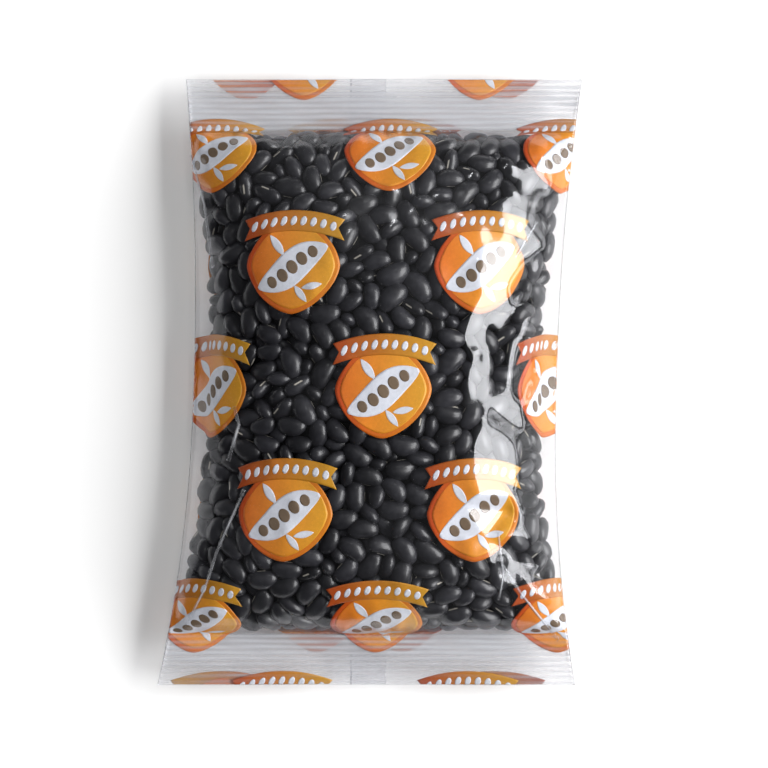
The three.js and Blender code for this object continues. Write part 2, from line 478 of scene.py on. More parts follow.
def depth_in_bag(form, centre):
    """How deep each bean's centre lies below the nearest skin or side."""
    x, y, z = centre.T
    slope = np.hypot(*slopes(form.top, x, y))
    depth = np.minimum((form.top(x, y) - z) / np.sqrt(1 + slope**2), z - form.under(x, y))
    return np.minimum(depth, form.bean_half(y) - np.abs(x - form.centre(y)))


# The shape of a bean. Its bend and its dent are in millimetres, lengths along it are shares of
# half its length

BEAN_RINGS, BEAN_ROUND = 6, 10
END_FULLNESS = 0.9
BEAN_BEND, BEND_LEVEL = 0.7, 0.3
BEND_RANGE = (0.5, 1.3)
BEAN_DENT, DENT_LENGTH = 0.45, 0.4
SCAR_LENGTH, SCAR_WIDTH = 0.3, 0.35
TONE_SPREAD, TONE_RANGE = 0.22, (0.5, 1.7)
SHOWN_DEPTH = 8.0


def bean_points(half, bend, dent):
    """Beans about the origin: ellipsoids with full ends, bent like a bow by the square of the
    way along them and dented on their hollow side."""
    t = np.linspace(0, np.pi, BEAN_RINGS + 2)[1:-1]
    a = np.linspace(0, 2 * np.pi, BEAN_ROUND, endpoint=False)
    ring = np.sin(t)[:, None] ** END_FULLNESS
    x = np.repeat(np.cos(t)[:, None], BEAN_ROUND, 1)
    ball = np.stack([x, ring * np.cos(a), ring * np.sin(a)], -1).reshape(-1, 3)
    ball = np.concatenate([ball, [[1, 0, 0], [-1, 0, 0]]])
    points = ball[None] * half[:, None, :]
    hollow = np.exp(-((ball[:, 0] / DENT_LENGTH) ** 2)) * np.maximum(0, -ball[:, 1])
    points[..., 1] += dent * hollow - bend[:, None] * (ball[:, 0] ** 2 - BEND_LEVEL)
    return points


def bean_faces():
    """Quads between the rings and a fan of triangles at each end, facing outwards."""
    ring = np.arange(BEAN_ROUND)
    after = (ring + 1) % BEAN_ROUND
    near = np.arange(BEAN_RINGS - 1)[:, None] * BEAN_ROUND
    far = near + BEAN_ROUND
    quads = np.stack([near + ring, near + after, far + after, far + ring], -1)
    last = (BEAN_RINGS - 1) * BEAN_ROUND
    front = np.full(BEAN_ROUND, BEAN_RINGS * BEAN_ROUND)
    start = np.stack([front, after, ring], -1)
    end = np.stack([front + 1, last + ring, last + after], -1)
    return quads.reshape(-1, 4)[:, ::-1], np.concatenate([start, end])[:, ::-1]


def scar_shares():
    """The white scar, from 0 to 1 at each point of a bean: a soft oval on its hollow side."""
    x, y, z = bean_points(np.ones((1, 3)), np.zeros(1), 0.0)[0].T
    return np.exp(-((x / SCAR_LENGTH) ** 2) - (z / SCAR_WIDTH) ** 2) * (y < 0)


# Draping the film over the beans, in millimetres. Rounds and tries are counts, and a facet's
# closest point and its overlap are shares of its size

BEAN_CLEARANCE = 0.42
DRAPE_GAP, LEAST_GAP = 0.5, 0.36
FOLD_GAP, SEAL_GAP = 0.4, 0.3
EDGE_HELD, SEAL_HELD = 1.2, 0.6
CLOSING = 4.0
FADE = 6.0
SAG = 0.003
DRAPE_ROUNDS, CRISP_ROUNDS, SOFT_ROUNDS, CLEARING_ROUNDS = 260, 3, 5, 2
CRISP_FROM = 0.4
PLEAT_PITCH, PLEAT_HEIGHT, PLEAT_REACH = 9.5, 0.6, 5.0
PLEAT_SWAY, PLEAT_SWAY_LENGTH = 3.0, 19.0
FACET_SPACING, FACET_CLOSEST, FACET_TRIES = 7.6, 0.7, 6
FACET_OVERLAP = 0.01

# How far the film stands off the beans, in millimetres, and where on its front, in shares of half
# the film's width and of half its length
SLACK_RIGHT, SLACK_LOW, SLACK_ENDS, SLACK_LEFT, SLACK_LEAST = 6.2, 2.4, 1.0, 1.0, 0.12
SLACK_BACK = 0.4
RIGHT_STEPS, RIGHT_STEP_WIDTH = ((0.4, 0.6), (0.7, 0.4)), 0.15
RIGHT_MIDDLE, RIGHT_REACH, RIGHT_POWER = -0.14, 0.6, 6
LOW_PLACE, LOW_REACH = (0.5, -0.3), (0.25, 0.27)
ENDS_FROM, ENDS_WIDTH, ENDS_LEFT_OF = 0.62, 0.2, 0.6
LEFT_PLACE, LEFT_REACH = -0.88, 0.13


def bean_tops(sheet, beans, side):
    """The outermost height of any bean at each point of the sheet. Its ellipsoid, a little
    enlarged, is cut with the upright line there, which is a square equation in the height."""
    centre, frames, half = beans
    half = half + BEAN_CLEARANCE
    shape = np.einsum("nki,nk,nkj->nij", frames, 1 / half**2, frames)
    reach = int(half.max() / GRID_STEP) + 2
    i0 = np.round((centre[:, 0] - sheet.x[0]) / GRID_STEP).astype(int)
    j0 = np.round((centre[:, 1] - sheet.y[0]) / GRID_STEP).astype(int)
    di, dj = (d.ravel() for d in np.mgrid[-reach : reach + 1, -reach : reach + 1])
    i = (i0[:, None] + di).clip(0, len(sheet.x) - 1)
    j = (j0[:, None] + dj).clip(0, len(sheet.y) - 1)
    dx = sheet.x[i] - centre[:, :1]
    dy = sheet.y[j] - centre[:, 1:2]
    m = shape[:, :, :, None]
    c = m[:, 0, 0] * dx**2 + 2 * m[:, 0, 1] * dx * dy + m[:, 1, 1] * dy**2 - 1
    b = m[:, 0, 2] * dx + m[:, 1, 2] * dy
    root = b**2 - m[:, 2, 2] * c
    hit = root > 0
    z = centre[:, 2:] + (side * np.sqrt(np.maximum(0, root)) - b) / m[:, 2, 2]
    tops = np.full(sheet.X.shape, -np.inf)
    np.maximum.at(tops, (i[hit], j[hit]), side * z[hit])
    return side * tops


def looseness(u, v):
    """How far the front film stands off the beans, in millimetres: most down its right side, in
    two steps, more again low on the right, and a little towards the seals and the left edge."""
    right = sum(part * np.clip((u - at) / RIGHT_STEP_WIDTH, 0, 1) for at, part in RIGHT_STEPS)
    right = right * np.exp(-(((v - RIGHT_MIDDLE) / RIGHT_REACH) ** RIGHT_POWER))
    way = [(share - place) / reach for share, place, reach in zip((u, v), LOW_PLACE, LOW_REACH)]
    low = np.exp(-(way[0] ** 2 + way[1] ** 2))
    ends = np.clip((np.abs(v) - ENDS_FROM) / ENDS_WIDTH, 0, 1)
    ends = ends * np.where(v > 0, np.clip(ENDS_LEFT_OF - u, 0, 1), 1)
    left = np.exp(-(((u - LEFT_PLACE) / LEFT_REACH) ** 2))
    slack = SLACK_RIGHT * right + SLACK_LOW * low + SLACK_ENDS * ends + SLACK_LEFT * left
    return slack + SLACK_LEAST


def random_facets(sheet, form, rng, heights, lift):
    """Flat facets of creased film: points strewn over the bag, joined by a net of triangles,
    each point lifted off the beans by a random part of the looseness there."""
    tries = int((form.bag.bottom * form.bag.length) / FACET_SPACING**2) * FACET_TRIES
    x = rng.uniform(sheet.x[2], sheet.x[-3], tries)
    y = rng.uniform(sheet.y[2], sheet.y[-3], tries)
    closest = (FACET_SPACING * FACET_CLOSEST) ** 2
    kept = []
    for index in range(tries):
        gaps = (x[kept] - x[index]) ** 2 + (y[kept] - y[index]) ** 2
        if not (gaps < closest).any():
            kept.append(index)
    x, y = x[kept], y[kept]
    z = sheet.read(heights, x, y) + sheet.read(lift, x, y) * rng.uniform(0, 1, len(x))
    triangles = delaunay_2d_cdt([Vector(p) for p in zip(x, y)], [], [], 0, 1e-5)[2]
    facets = np.full(sheet.X.shape, -np.inf)
    for corners in triangles:
        cx, cy, cz = x[corners], y[corners], z[corners]
        i = slice(*np.searchsorted(sheet.x, [cx.min(), cx.max()]) + [0, 1])
        j = slice(*np.searchsorted(sheet.y, [cy.min(), cy.max()]) + [0, 1])
        X, Y = sheet.X[i, j], sheet.Y[i, j]
        area = (cx[1] - cx[0]) * (cy[2] - cy[0]) - (cx[2] - cx[0]) * (cy[1] - cy[0])
        s = ((X - cx[0]) * (cy[2] - cy[0]) - (cx[2] - cx[0]) * (Y - cy[0])) / area
        t = ((cx[1] - cx[0]) * (Y - cy[0]) - (X - cx[0]) * (cy[1] - cy[0])) / area
        plane = cz[0] + s * (cz[1] - cz[0]) + t * (cz[2] - cz[0])
        inside = (s >= -FACET_OVERLAP) & (t >= -FACET_OVERLAP) & (s + t <= 1 + FACET_OVERLAP)
        facets[i, j] = np.where(inside, plane, facets[i, j])
    return facets


def drape(form, sheet, tops, seam, side, rng):
    """Film laid over the beans, with heights counted outwards. It settles over them, sucked in
    a little. Then its loose stretches are raised to flat facets, pleats run in from the seals,
    and all is softened, the creases of the loosest film least."""
    edge = form.film_half(sheet.Y) - np.abs(sheet.X - form.centre(sheet.Y))
    past = np.abs(sheet.Y) - form.inner
    held = (edge < EDGE_HELD) | (past > -SEAL_HELD)
    closing = 1 - np.clip((past + CLOSING) / CLOSING, 0, 1)
    gap = FOLD_GAP * np.clip(edge / EDGE_HELD, 0, 1) ** 0.5 * closing
    rest = side * seam + np.maximum(gap, SEAL_GAP)
    block = np.where(np.isfinite(tops), side * tops + DRAPE_GAP, -np.inf)
    z = np.where(held, rest, np.maximum(block, rest))
    z = settled(z, held, rest, DRAPE_ROUNDS, SAG, block)
    u = (sheet.X - form.centre(sheet.Y)) / form.film_half(sheet.Y)
    loose = looseness(u, sheet.Y / form.half) if side > 0 else np.full(u.shape, SLACK_BACK)
    fade = np.clip(edge / FADE, 0, 1) * np.clip(-past / FADE, 0, 1)
    z = z + np.maximum(random_facets(sheet, form, rng, z, loose) - z, 0) * fade
    sway = sheet.X + PLEAT_SWAY * np.sin(sheet.X / PLEAT_SWAY_LENGTH)
    pleat = np.maximum(0, np.sin(2 * np.pi * sway / PLEAT_PITCH)) ** 2
    z = z + PLEAT_HEIGHT * pleat * np.exp(-(((past + PLEAT_REACH) / PLEAT_REACH) ** 2)) * fade
    crisp = settled(z, held, rest, CRISP_ROUNDS)
    z = settled(crisp, held, rest, SOFT_ROUNDS)
    z = z + (crisp - z) * np.clip(loose - CRISP_FROM, 0, 1)
    for _ in range(CLEARING_ROUNDS):
        z = np.where(past > 0, rest, np.maximum(z, block - DRAPE_GAP + LEAST_GAP))
        z = settled(z, past > 0, rest, 1)
    return side * z


# The film's seals, edges and folds

FILM_COLUMNS = 150
SEAL_ROWS, MIDDLE_ROWS = 54, 188
RIB_START = 1.0
BACK_LIFT = 0.3

# The grey milkiness of crimped film: partly real haze, partly painted shade, its grey lines on
# the ribs standing in for light that the ribs refract. It is least and added on the ribs, front
# and back. It starts before each seal, and towards the seal's free edge it clears, from one
# depth to another, until this share of it is left
SEAL_MILK_AND_SHADE = ((0.03, 0.27), (0.3, 0.8))
MILK_AHEAD, MILK_RAMP = 1.3, 2.0
SEAL_CLEARS = {1: (10.5, 17.5, 0.4), -1: (6.0, 14.0, 0.35)}

LAP_PLACE, LAP_WIDTH, LAP_COLUMNS, LAP_ROWS = -0.6, 12.6, 12, 240
LAP_EDGE, LAP_BESIDE = 0.95, 0.9
LAP_GAP, LAP_THICKNESS, LAP_RAMP = 0.05, 0.15, 1.5
LAP_MILK, LAP_EDGE_MILK = 0.03, 0.48

# Sharp folds in the slack film: the places that each runs through, its height and half width
FOLDS = (
    (((-47.2, -8.5), (-45.6, -15.0), (-49.2, -27.5)), 0.9, 0.7),
    (((-43.6, -37.4), (-53.4, -59.1), (-57.6, -72.1), (-65.0, -86.5)), 0.95, 0.6),
    (((46.0, -63.0), (52.5, -73.5), (66.5, -91.0)), 0.8, 0.6),
    (((44.5, -52.0), (46.5, -67.0), (45.0, -76.0)), 0.6, 0.5),
    (((50.5, 43.0), (58.5, 56.0)), 0.7, 0.6),
    (((-55.0, 40.0), (-58.0, 62.0), (-63.0, 80.0)), 0.6, 0.5),
)
FOLD_STEPS, FOLD_COLUMNS = 70, 4
FOLD_FOOT = 0.12
# Milk on the fold crests: partly real whitening, partly a painted highlight of the crease
FOLD_MILK_AND_HIGHLIGHT = 0.85
FOLD_SWELL, FOLD_SWELLS = 0.28, 9


def ribs(form, x, y):
    """The crimped ribs, from 0 to 1: a cosine along the bag inside each seal. It wanders a
    little and is pressed deeper in some places than in others, by sums of slow sines."""
    past = np.abs(y) - form.inner
    wander = 0.3 * np.sin(x / 17 + 0.7) * np.sin(x / 41) + 0.1 * np.sin(x / 6.3 + y)
    press = 0.62 + 0.25 * np.sin(x / 8.7 + y / 3) * np.sin(x / 21 + 1.3)
    press = press + 0.13 * np.sin(x / 3.1 + y)
    wave = 0.5 - 0.5 * np.cos(2 * np.pi * (past + wander) / form.bag.rib)
    return wave * press * np.clip(past / RIB_START, 0, 1)


def film_grid(form):
    """Places at which the film is drawn, in rows that are closer together in the seals so that
    each rib is round."""
    across = np.linspace(-1, 1, FILM_COLUMNS + 1)
    seal = np.linspace(form.inner, form.half, SEAL_ROWS + 1)
    middle = np.linspace(-form.inner, form.inner, MIDDLE_ROWS + 1)[1:-1]
    U, Y = np.meshgrid(across, np.concatenate([-seal[::-1], middle, seal]), indexing="ij")
    return form.centre(Y) + form.film_half(Y) * U, Y


def seal_milk(form, y, rib):
    """How milky both films are, partly painted shade standing in for light that the ribs refract:
    more on the ribs, less towards the free edge of each seal.
    """
    past = np.abs(y) - form.inner
    sealed = np.clip((past + MILK_AHEAD) / MILK_RAMP, 0, 1)
    for end, (start, stop, least) in SEAL_CLEARS.items():
        clearing = np.clip((past - start) / (stop - start), 0, 1) * (np.sign(y) == end)
        sealed = sealed * (1 - (1 - least) * clearing)
    return [(least + more * rib) * sealed for least, more in SEAL_MILK_AND_SHADE]


def fold_tent(height, path, high, wide):
    """A fold pinched up out of the film: a sharp tent along a bent line, highest in its middle,
    whose feet are just inside the film. Its milk grows towards the crest: partly the whitening of
    sharply folded film, partly a painted highlight along the crease."""
    path = np.array(path)
    run = np.concatenate([[0], np.cumsum(np.hypot(*np.diff(path, axis=0).T))])
    t = np.linspace(0, run[-1], FOLD_STEPS + 1)
    line = np.stack([np.interp(t, run, path[:, k]) for k in (0, 1)], -1)
    way = unit(np.gradient(line, axis=0))
    aside = np.stack([way[:, 1], -way[:, 0]], -1)
    section = np.linspace(-1, 1, FOLD_COLUMNS + 1)
    share = t / run[-1]
    waves = 1 - FOLD_SWELL + FOLD_SWELL * np.sin(FOLD_SWELLS * share + path[0, 0])
    tent = np.clip(1 - np.abs(section), 0, 1)[:, None] * (np.sin(np.pi * share) ** 0.5 * waves)
    spots = line[None] + section[:, None, None] * wide * aside[None]
    base = height(spots[..., 0], spots[..., 1])
    crest = base - FOLD_FOOT + high * tent
    points, quads, _ = closed_pair(spots[..., 0], spots[..., 1], crest, base - 2 * FOLD_FOOT)
    milk = np.zeros(len(points))
    milk[: tent.size] = (FOLD_MILK_AND_HIGHLIGHT * tent**1.5).ravel()
    return points, quads, milk


# The print. Lengths are millimetres on the film, angles are radians

PRINT_ROWS, PRINT_COLUMNS = 400, 161
PITCH_ACROSS, PITCH_ALONG = 66.0, 43.0
MOTIF_SHIFT, MOTIF_REACH, MOTIF_BOX = 3.0, 3, 40.0
BADGE, RIM = 16.8, 1.7
BADGE_POWER, BADGE_DROP, BADGE_STEPS = 1.6, -2.5, 34
BAND_LENGTH, BAND_WIDTH, BAND_RISE = 36.0, 7.4, 13.2
BAND_NOTCH, BAND_NOTCH_POWER, BAND_ARCH = 2.2, 8, 46.0
DOTS, DOT, DOT_TURN, DOT_REACH, DOT_STEPS = 9, (1.05, 1.75), -0.35, 14.0, 4
POD_LENGTH, POD_WIDTH, POD_TURN = 28.5, 11.5, 0.52
POD_PLACE = (0.0, -3.0)
POD_FULLNESS, POD_BOW, POD_BOW_TURN = 0.62, 1.1, 0.9
POD_BEANS, POD_BEAN, POD_BEAN_SHRINK, POD_BEAN_STEPS = 5, (1.95, 2.5), 0.35, 6
POD_BEAN_REACH = 0.62
LEAF_WIDTH, LEAF_FULLNESS = 0.34, 0.8
POD_TIP, LEAF_TIP = 0.02, 0.03
BAND_GRID, POD_GRID, LEAF_GRID = (40, 10), (40, 14), (14, 6)
LEAVES = ((2.2, 4.3, (-5.6, 4.6)), (0.2, 3.6, (7.0, -9.6)), (-0.9, 3.6, (3.2, -12.3)))
INK_THICKNESS, INK_LAYER = 0.02, 0.04
BACK_INK = 0.3
EDGE_LEFT, SEAM_LEFT = 0.25, 7.2
PRESSED = 100


class Print:
    """The flat sheet that the bag is made of, and where each point of it comes to lie.

    s runs round the bag from the back seam over the front, 0 in the middle of the front, and t
    along it. Both are lengths on the film, so what is printed on a slope looks narrower."""

    def __init__(self, form, sheet, front, back):
        self.form, self.sheet = form, sheet
        self.films = {1: front, -1: back}
        self.flat = form.bag.bottom
        self.y = y = np.linspace(-form.half, form.half, PRINT_ROWS)
        height = form.top(form.centre(y), y) + form.seam(form.centre(y), y) - form.bag.seam
        arc = np.concatenate([[0], np.cumsum(np.hypot(np.diff(y), np.diff(height)))])
        self.t = arc - arc[-1] / 2
        u = np.linspace(-1, 1, PRINT_COLUMNS)
        X = form.centre(y)[:, None] + form.film_half(y)[:, None] * u
        self.even = {}
        for side, skin in ((1, form.top), (-1, form.under)):
            Z = skin(X, y[:, None])
            steps = np.hypot(np.diff(X, axis=1), np.diff(Z, axis=1))
            run = np.concatenate([np.zeros((len(y), 1)), np.cumsum(steps, 1)], 1)
            share = run / run[:, -1:] * 2 - 1
            self.even[side] = np.array([np.interp(u, row, u) for row in share])

    def place(self, s, t, depth):
        """Points in the bag's frame for places on the sheet. On the front the ink is some depth
        inside the film. On the back it is outside, so that it looks pale through the seals."""
        y = np.interp(t, self.t, self.y)
        side = np.where(np.abs(s) <= self.flat / 2, 1, -1)
        across = np.where(side > 0, s, np.sign(s) * (self.flat - np.abs(s))) / (self.flat / 2)
        row = (y + self.form.half) / (2 * self.form.half) * (PRINT_ROWS - 1)
        column = (across + 1) / 2 * (PRINT_COLUMNS - 1)
        crimp = self.form.bag.rib_height * (np.abs(y) > self.form.inner)
        points = np.zeros(s.shape + (3,))
        for face, drop in ((1, depth), (-1, crimp + (BACK_INK - depth))):
            u = between(self.even[face], row, column)
            x = self.form.centre(y) + self.form.film_half(y) * u
            z = self.sheet.read(self.films[face], x, y) - drop
            points[side == face] = np.stack([x, y, z], -1)[side == face]
        return points


def motif_places():
    """Centres of the printed motifs, in rows that are out of step with each other."""
    steps = np.arange(-MOTIF_REACH, MOTIF_REACH + 1)
    r, c = (g.ravel() for g in np.meshgrid(steps, steps, indexing="ij"))
    return np.stack([PITCH_ACROSS * (c + 0.5 * (r % 2)) + MOTIF_SHIFT, PITCH_ALONG * r], -1)


def square(columns, rows):
    """Two numbers from -1 to 1 for each point of a grid, across it and along it."""
    return np.meshgrid(np.linspace(-1, 1, columns + 1), np.linspace(-1, 1, rows + 1), indexing="ij")


def round_patch(steps):
    """A square grid drawn into a disc: each side bows out, so there is no pole."""
    a, b = square(steps, steps)
    return np.stack([a * np.sqrt(1 - b**2 / 2), b * np.sqrt(1 - a**2 / 2)], -1)


def turned_flat(points, angle):
    """Points of the plane, turned about its origin."""
    c, s = np.cos(angle), np.sin(angle)
    return points @ np.array([[c, s], [-s, c]])


def badge(size):
    """A soft diamond: a disc whose radius follows a superellipse."""
    disc = round_patch(BADGE_STEPS)
    radius = np.hypot(disc[..., 0], disc[..., 1])
    power = (np.abs(disc) ** BADGE_POWER).sum(-1) ** (1 / BADGE_POWER)
    stretch = size * radius / np.maximum(power, TINY)
    return disc * stretch[..., None] + [0, BADGE_DROP]


def arched(points):
    """Points of a straight band, dropped by the square of their way from its middle."""
    return points - np.stack([0 * points[..., 0], points[..., 0] ** 2 / (2 * BAND_ARCH)], -1)


def ribbon():
    """A band bent to an arch, whose two ends are notched."""
    a, b = square(*BAND_GRID)
    end = BAND_LENGTH / 2 - BAND_NOTCH * (1 - np.abs(b)) * np.abs(a) ** BAND_NOTCH_POWER
    return arched(np.stack([a * end, b * BAND_WIDTH / 2 + BAND_RISE], -1))


def band_dots():
    """A row of slanted ovals along the band."""
    dot = turned_flat(round_patch(DOT_STEPS) * DOT, DOT_TURN)
    return [arched(dot + [x, BAND_RISE]) for x in np.linspace(-DOT_REACH, DOT_REACH, DOTS)]


def pod_bow(share):
    """How far the pod's middle line bows aside, by a sine of the share of the way along it."""
    return POD_BOW * np.sin(share * np.pi * POD_BOW_TURN)


def pod():
    """An open pod: a band along a line, widest in its middle and pointed at both ends."""
    a, b = square(*POD_GRID)
    width = POD_WIDTH / 2 * np.maximum(POD_TIP, np.cos(a * np.pi / 2)) ** POD_FULLNESS
    shape = np.stack([a * POD_LENGTH / 2, b * width + pod_bow(a)], -1)
    return turned_flat(shape, POD_TURN) + POD_PLACE


def pod_beans():
    """Ovals in a row along the middle of the pod, the largest in its middle."""
    ovals = []
    for share in np.linspace(-POD_BEAN_REACH, POD_BEAN_REACH, POD_BEANS):
        oval = round_patch(POD_BEAN_STEPS) * POD_BEAN * (1 - POD_BEAN_SHRINK * share**2)
        oval = oval + [share * POD_LENGTH / 2, pod_bow(share)]
        ovals.append(turned_flat(oval, POD_TURN) + POD_PLACE)
    return ovals


def leaf(turn, size, place):
    """A pointed oval: its width falls to nothing at both ends."""
    a, b = square(*LEAF_GRID)
    width = LEAF_WIDTH * np.maximum(LEAF_TIP, np.cos(a * np.pi / 2)) ** LEAF_FULLNESS
    return turned_flat(np.stack([a, b * width], -1) * size, turn) + place


def pressed(way, most):
    """Lengths whose part past a limit is pressed to a hundredth, so that no two points meet
    there, and which of them are past it."""
    over = np.maximum(np.abs(way) - most, 0)
    return np.sign(way) * (np.minimum(np.abs(way), most) + over / PRESSED), over > 0


def ink_piece(name, sheet_print, shapes, depth):
    """One ink's shapes, laid on the film wherever a motif is: two skins and the walls between
    their open edges. What would run over a seal's edge or into the back seam is cut off there."""
    places = motif_places()
    last_s, last_t = sheet_print.flat - SEAM_LEFT, sheet_print.t[-1] - EDGE_LEFT
    points, quads, motif, count = [], [], [], 0
    for shape in shapes:
        shape_quads = grid_quads(shape.shape[0] - 1, shape.shape[1] - 1)
        shape = shape.reshape(-1, 2)
        for place in places:
            s, past_s = pressed(place[0] + shape[:, 0], last_s)
            t, past_t = pressed(place[1] + shape[:, 1], last_t)
            kept = shape_quads[~(past_s[shape_quads].all(1) | past_t[shape_quads].all(1))]
            if not len(kept):
                continue
            used, packed = np.unique(kept, return_inverse=True)
            skin, size = packed.reshape(-1, 4), len(used)
            for level in (depth, depth + INK_THICKNESS):
                points.append(sheet_print.place(s[used], t[used], level))
                motif.append(shape[used])
            # The inner skin is turned over but cut along the same diagonals
            inner = skin[:, [0, 3, 2, 1]] + count + size
            quads += [skin + count, inner, rim_walls(skin, size) + count]
            count += 2 * size
    piece = new_mesh(name, np.concatenate(points), np.concatenate(quads))
    point_map(piece, "motif", np.concatenate(motif) / MOTIF_BOX + 0.5)
    return piece


# Materials. Patterns are as large as the sizes here, in millimetres

CLOUD, COAT_GRAIN, MOTTLE = 55.6, 2.38, 1.11
MIRROR, GRAZING_MIRROR = 0.058, 0.92


def node(tree, kind, inputs=(), output=0, **choices):
    """Adds a node, makes its settings, and sets or links its inputs, given by name or in their
    order: a MapRange's are a value, what it runs from and to, and what that becomes. Gives one
    of its outputs, if it has any."""
    made = tree.nodes.new("ShaderNode" + kind)
    for key, value in choices.items():
        setattr(made, key, value)
    for key, value in inputs.items() if isinstance(inputs, dict) else enumerate(inputs):
        if isinstance(value, bpy.types.NodeSocket):
            tree.links.new(value, made.inputs[key])
        else:
            made.inputs[key].default_value = value
    return made.outputs[output] if made.outputs else None


def rgba(value):
    """A colour with full cover."""
    return (*value, 1.0)


def scale_of(size):
    """A pattern's scale on coordinates in metres, from its size in millimetres."""
    return 1 / (size * MM)


def new_material(name):
    """An empty node material and its tree."""
    material = bpy.data.materials.new(name)
    material.use_nodes = True
    material.node_tree.nodes.clear()
    return material, material.node_tree


def film_material():
    """Cast polypropylene film, about 35 microns: clear, with a hard gloss that grows towards
    grazing, a trace of haze, and a grey milkiness where it is crimped or sharply folded, partly
    painted shade on the seal ribs and a painted highlight along the folds."""
    material, tree = new_material("cast_polypropylene_film")
    place = node(tree, "TexCoord", output="Object")
    cloud = node(tree, "TexNoise", {"Vector": place, "Scale": scale_of(CLOUD), "Detail": 2.0})
    haze = node(tree, "MapRange", [cloud, 0.35, 0.75, 0.0, 0.012])
    # Both faces of the film mirror a little straight on, and more by the fifth power at grazing
    grazing = node(tree, "LayerWeight", {"Blend": 0.5}, output="Facing")
    steep = node(tree, "Math", [grazing, 5.0], operation="POWER")
    gloss = node(tree, "Math", [steep, GRAZING_MIRROR, MIRROR], operation="MULTIPLY_ADD")
    # The film's milk: partly real milkiness, partly painted shade on the seal ribs and a painted
    # highlight on the fold crests
    crimped = node(tree, "Attribute", output="Fac", attribute_name="milk")
    milk = node(tree, "Math", [haze, crimped], operation="ADD")
    share = node(tree, "Math", [gloss, milk], operation="ADD", use_clamp=True)
    # Of what isn't clear, the mirrored share is smooth and bright, and the milk matt and grey,
    # its grey partly painted shade on the seal ribs and a painted highlight on the folds
    mirror = node(tree, "Math", [gloss, share], operation="DIVIDE")
    ends = {"Factor": mirror, 6: rgba(srgb("c0c2c7")), 7: rgba(srgb("fafbff"))}
    tint = node(tree, "Mix", ends, output=2, data_type="RGBA")
    rough = node(tree, "Math", [mirror, -0.3, 0.4], operation="MULTIPLY_ADD")
    look = {"Base Color": tint, "Metallic": mirror, "Roughness": rough, "Specular IOR Level": 0.2}
    solid = node(tree, "BsdfPrincipled", look)
    clear = node(tree, "BsdfTransparent", {"Color": rgba(srgb("fdfdfe"))})
    film = node(tree, "MixShader", [share, clear, solid])
    node(tree, "OutputMaterial", {"Surface": film})
    return material


def bean_material(colours):
    """Seed coat of a dried black bean: near black with a blue cast, satin, faintly wrinkled and
    dusty, with a white scar on the hollow side."""
    material, tree = new_material("black_bean_seed_coat")
    tone = node(tree, "Attribute", output="Fac", attribute_name="tone")
    place = node(tree, "TexCoord", output="Object")
    grain = node(tree, "TexNoise", {"Vector": place, "Scale": scale_of(COAT_GRAIN), "Detail": 4.0})
    dust = node(tree, "MapRange", [grain, 0.3, 0.8, 0.75, 1.35])
    shade = node(tree, "Math", [tone, dust], operation="MULTIPLY")
    coat = node(tree, "VectorMath", {0: colours.bean, "Scale": shade}, operation="SCALE")
    scar = node(tree, "Attribute", output="Fac", attribute_name="scar")
    mark = node(tree, "MapRange", [scar, 0.45, 0.6])
    ends = {"Factor": mark, 6: coat, 7: rgba(colours.hilum)}
    skin = node(tree, "Mix", ends, output=2, data_type="RGBA")
    rough = node(tree, "MapRange", [grain, 0.3, 0.7, 0.36, 0.52])
    wrinkle = node(tree, "Bump", {"Height": grain, "Strength": 0.25, "Distance": 0.2 * MM})
    look = {"Base Color": skin, "Roughness": rough, "Normal": wrinkle, "IOR": 1.48}
    waxy = {"Coat Weight": 0.3, "Coat Roughness": 0.14}
    node(tree, "OutputMaterial", {"Surface": node(tree, "BsdfPrincipled", look | waxy)})
    return material


def ink_material(name, left, right):
    """Flexo ink on the inside of the film: even and opaque, its colour running from left to
    right, with a faint mottle of about a millimetre."""
    material, tree = new_material(name)
    motif = node(tree, "UVMap", uv_map="motif")
    across = node(tree, "SeparateXYZ", [motif])
    run = node(tree, "MapRange", [across, 0.12, 0.88])
    ends = {"Factor": run, 6: rgba(left), 7: rgba(right)}
    blend = node(tree, "Mix", ends, output=2, data_type="RGBA")
    place = node(tree, "TexCoord", output="Object")
    mottle = node(tree, "TexNoise", {"Vector": place, "Scale": scale_of(MOTTLE), "Detail": 2.0})
    tone = node(tree, "MapRange", [mottle, 0.3, 0.7, 0.93, 1.04])
    ink = node(tree, "VectorMath", {0: blend, "Scale": tone}, operation="SCALE")
    look = {"Base Color": ink, "Roughness": 0.35, "Specular IOR Level": 0.3}
    node(tree, "OutputMaterial", {"Surface": node(tree, "BsdfPrincipled", look)})
    return material


def floor_material(colours):
    """Matt white studio paper: even, with no gloss."""
    material, tree = new_material("studio_paper")
    look = {"Base Color": rgba(colours.floor), "Roughness": 0.9, "Specular IOR Level": 0.1}
    node(tree, "OutputMaterial", {"Surface": node(tree, "BsdfPrincipled", look)})
    return material


def dress(piece, material, slot, **values):
    """Gives a piece its material and body, and the numbers that its material reads, one for each
    point. The slot is not used."""
    for name, numbers in values.items():
        layer = piece.data.attributes.new(name, "FLOAT", "POINT")
        layer.data.foreach_set("value", np.asarray(numbers, np.float32).ravel())
    piece.data.materials.append(material)
    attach(piece, BODY)


# The operators. What one works out and a later one needs is shared

shared = {}

# The core's tone, darker than any bean's, is painted shade of the bag's depths
CORE_INSET, CORE_LEAST, CORE_SHADE_TONE = 7.0, 0.2, 0.4
CORE_COLUMNS, CORE_ROWS = 40, 60


def settings():
    """The scene's settings of the bag."""
    return bpy.context.scene.bean_bag


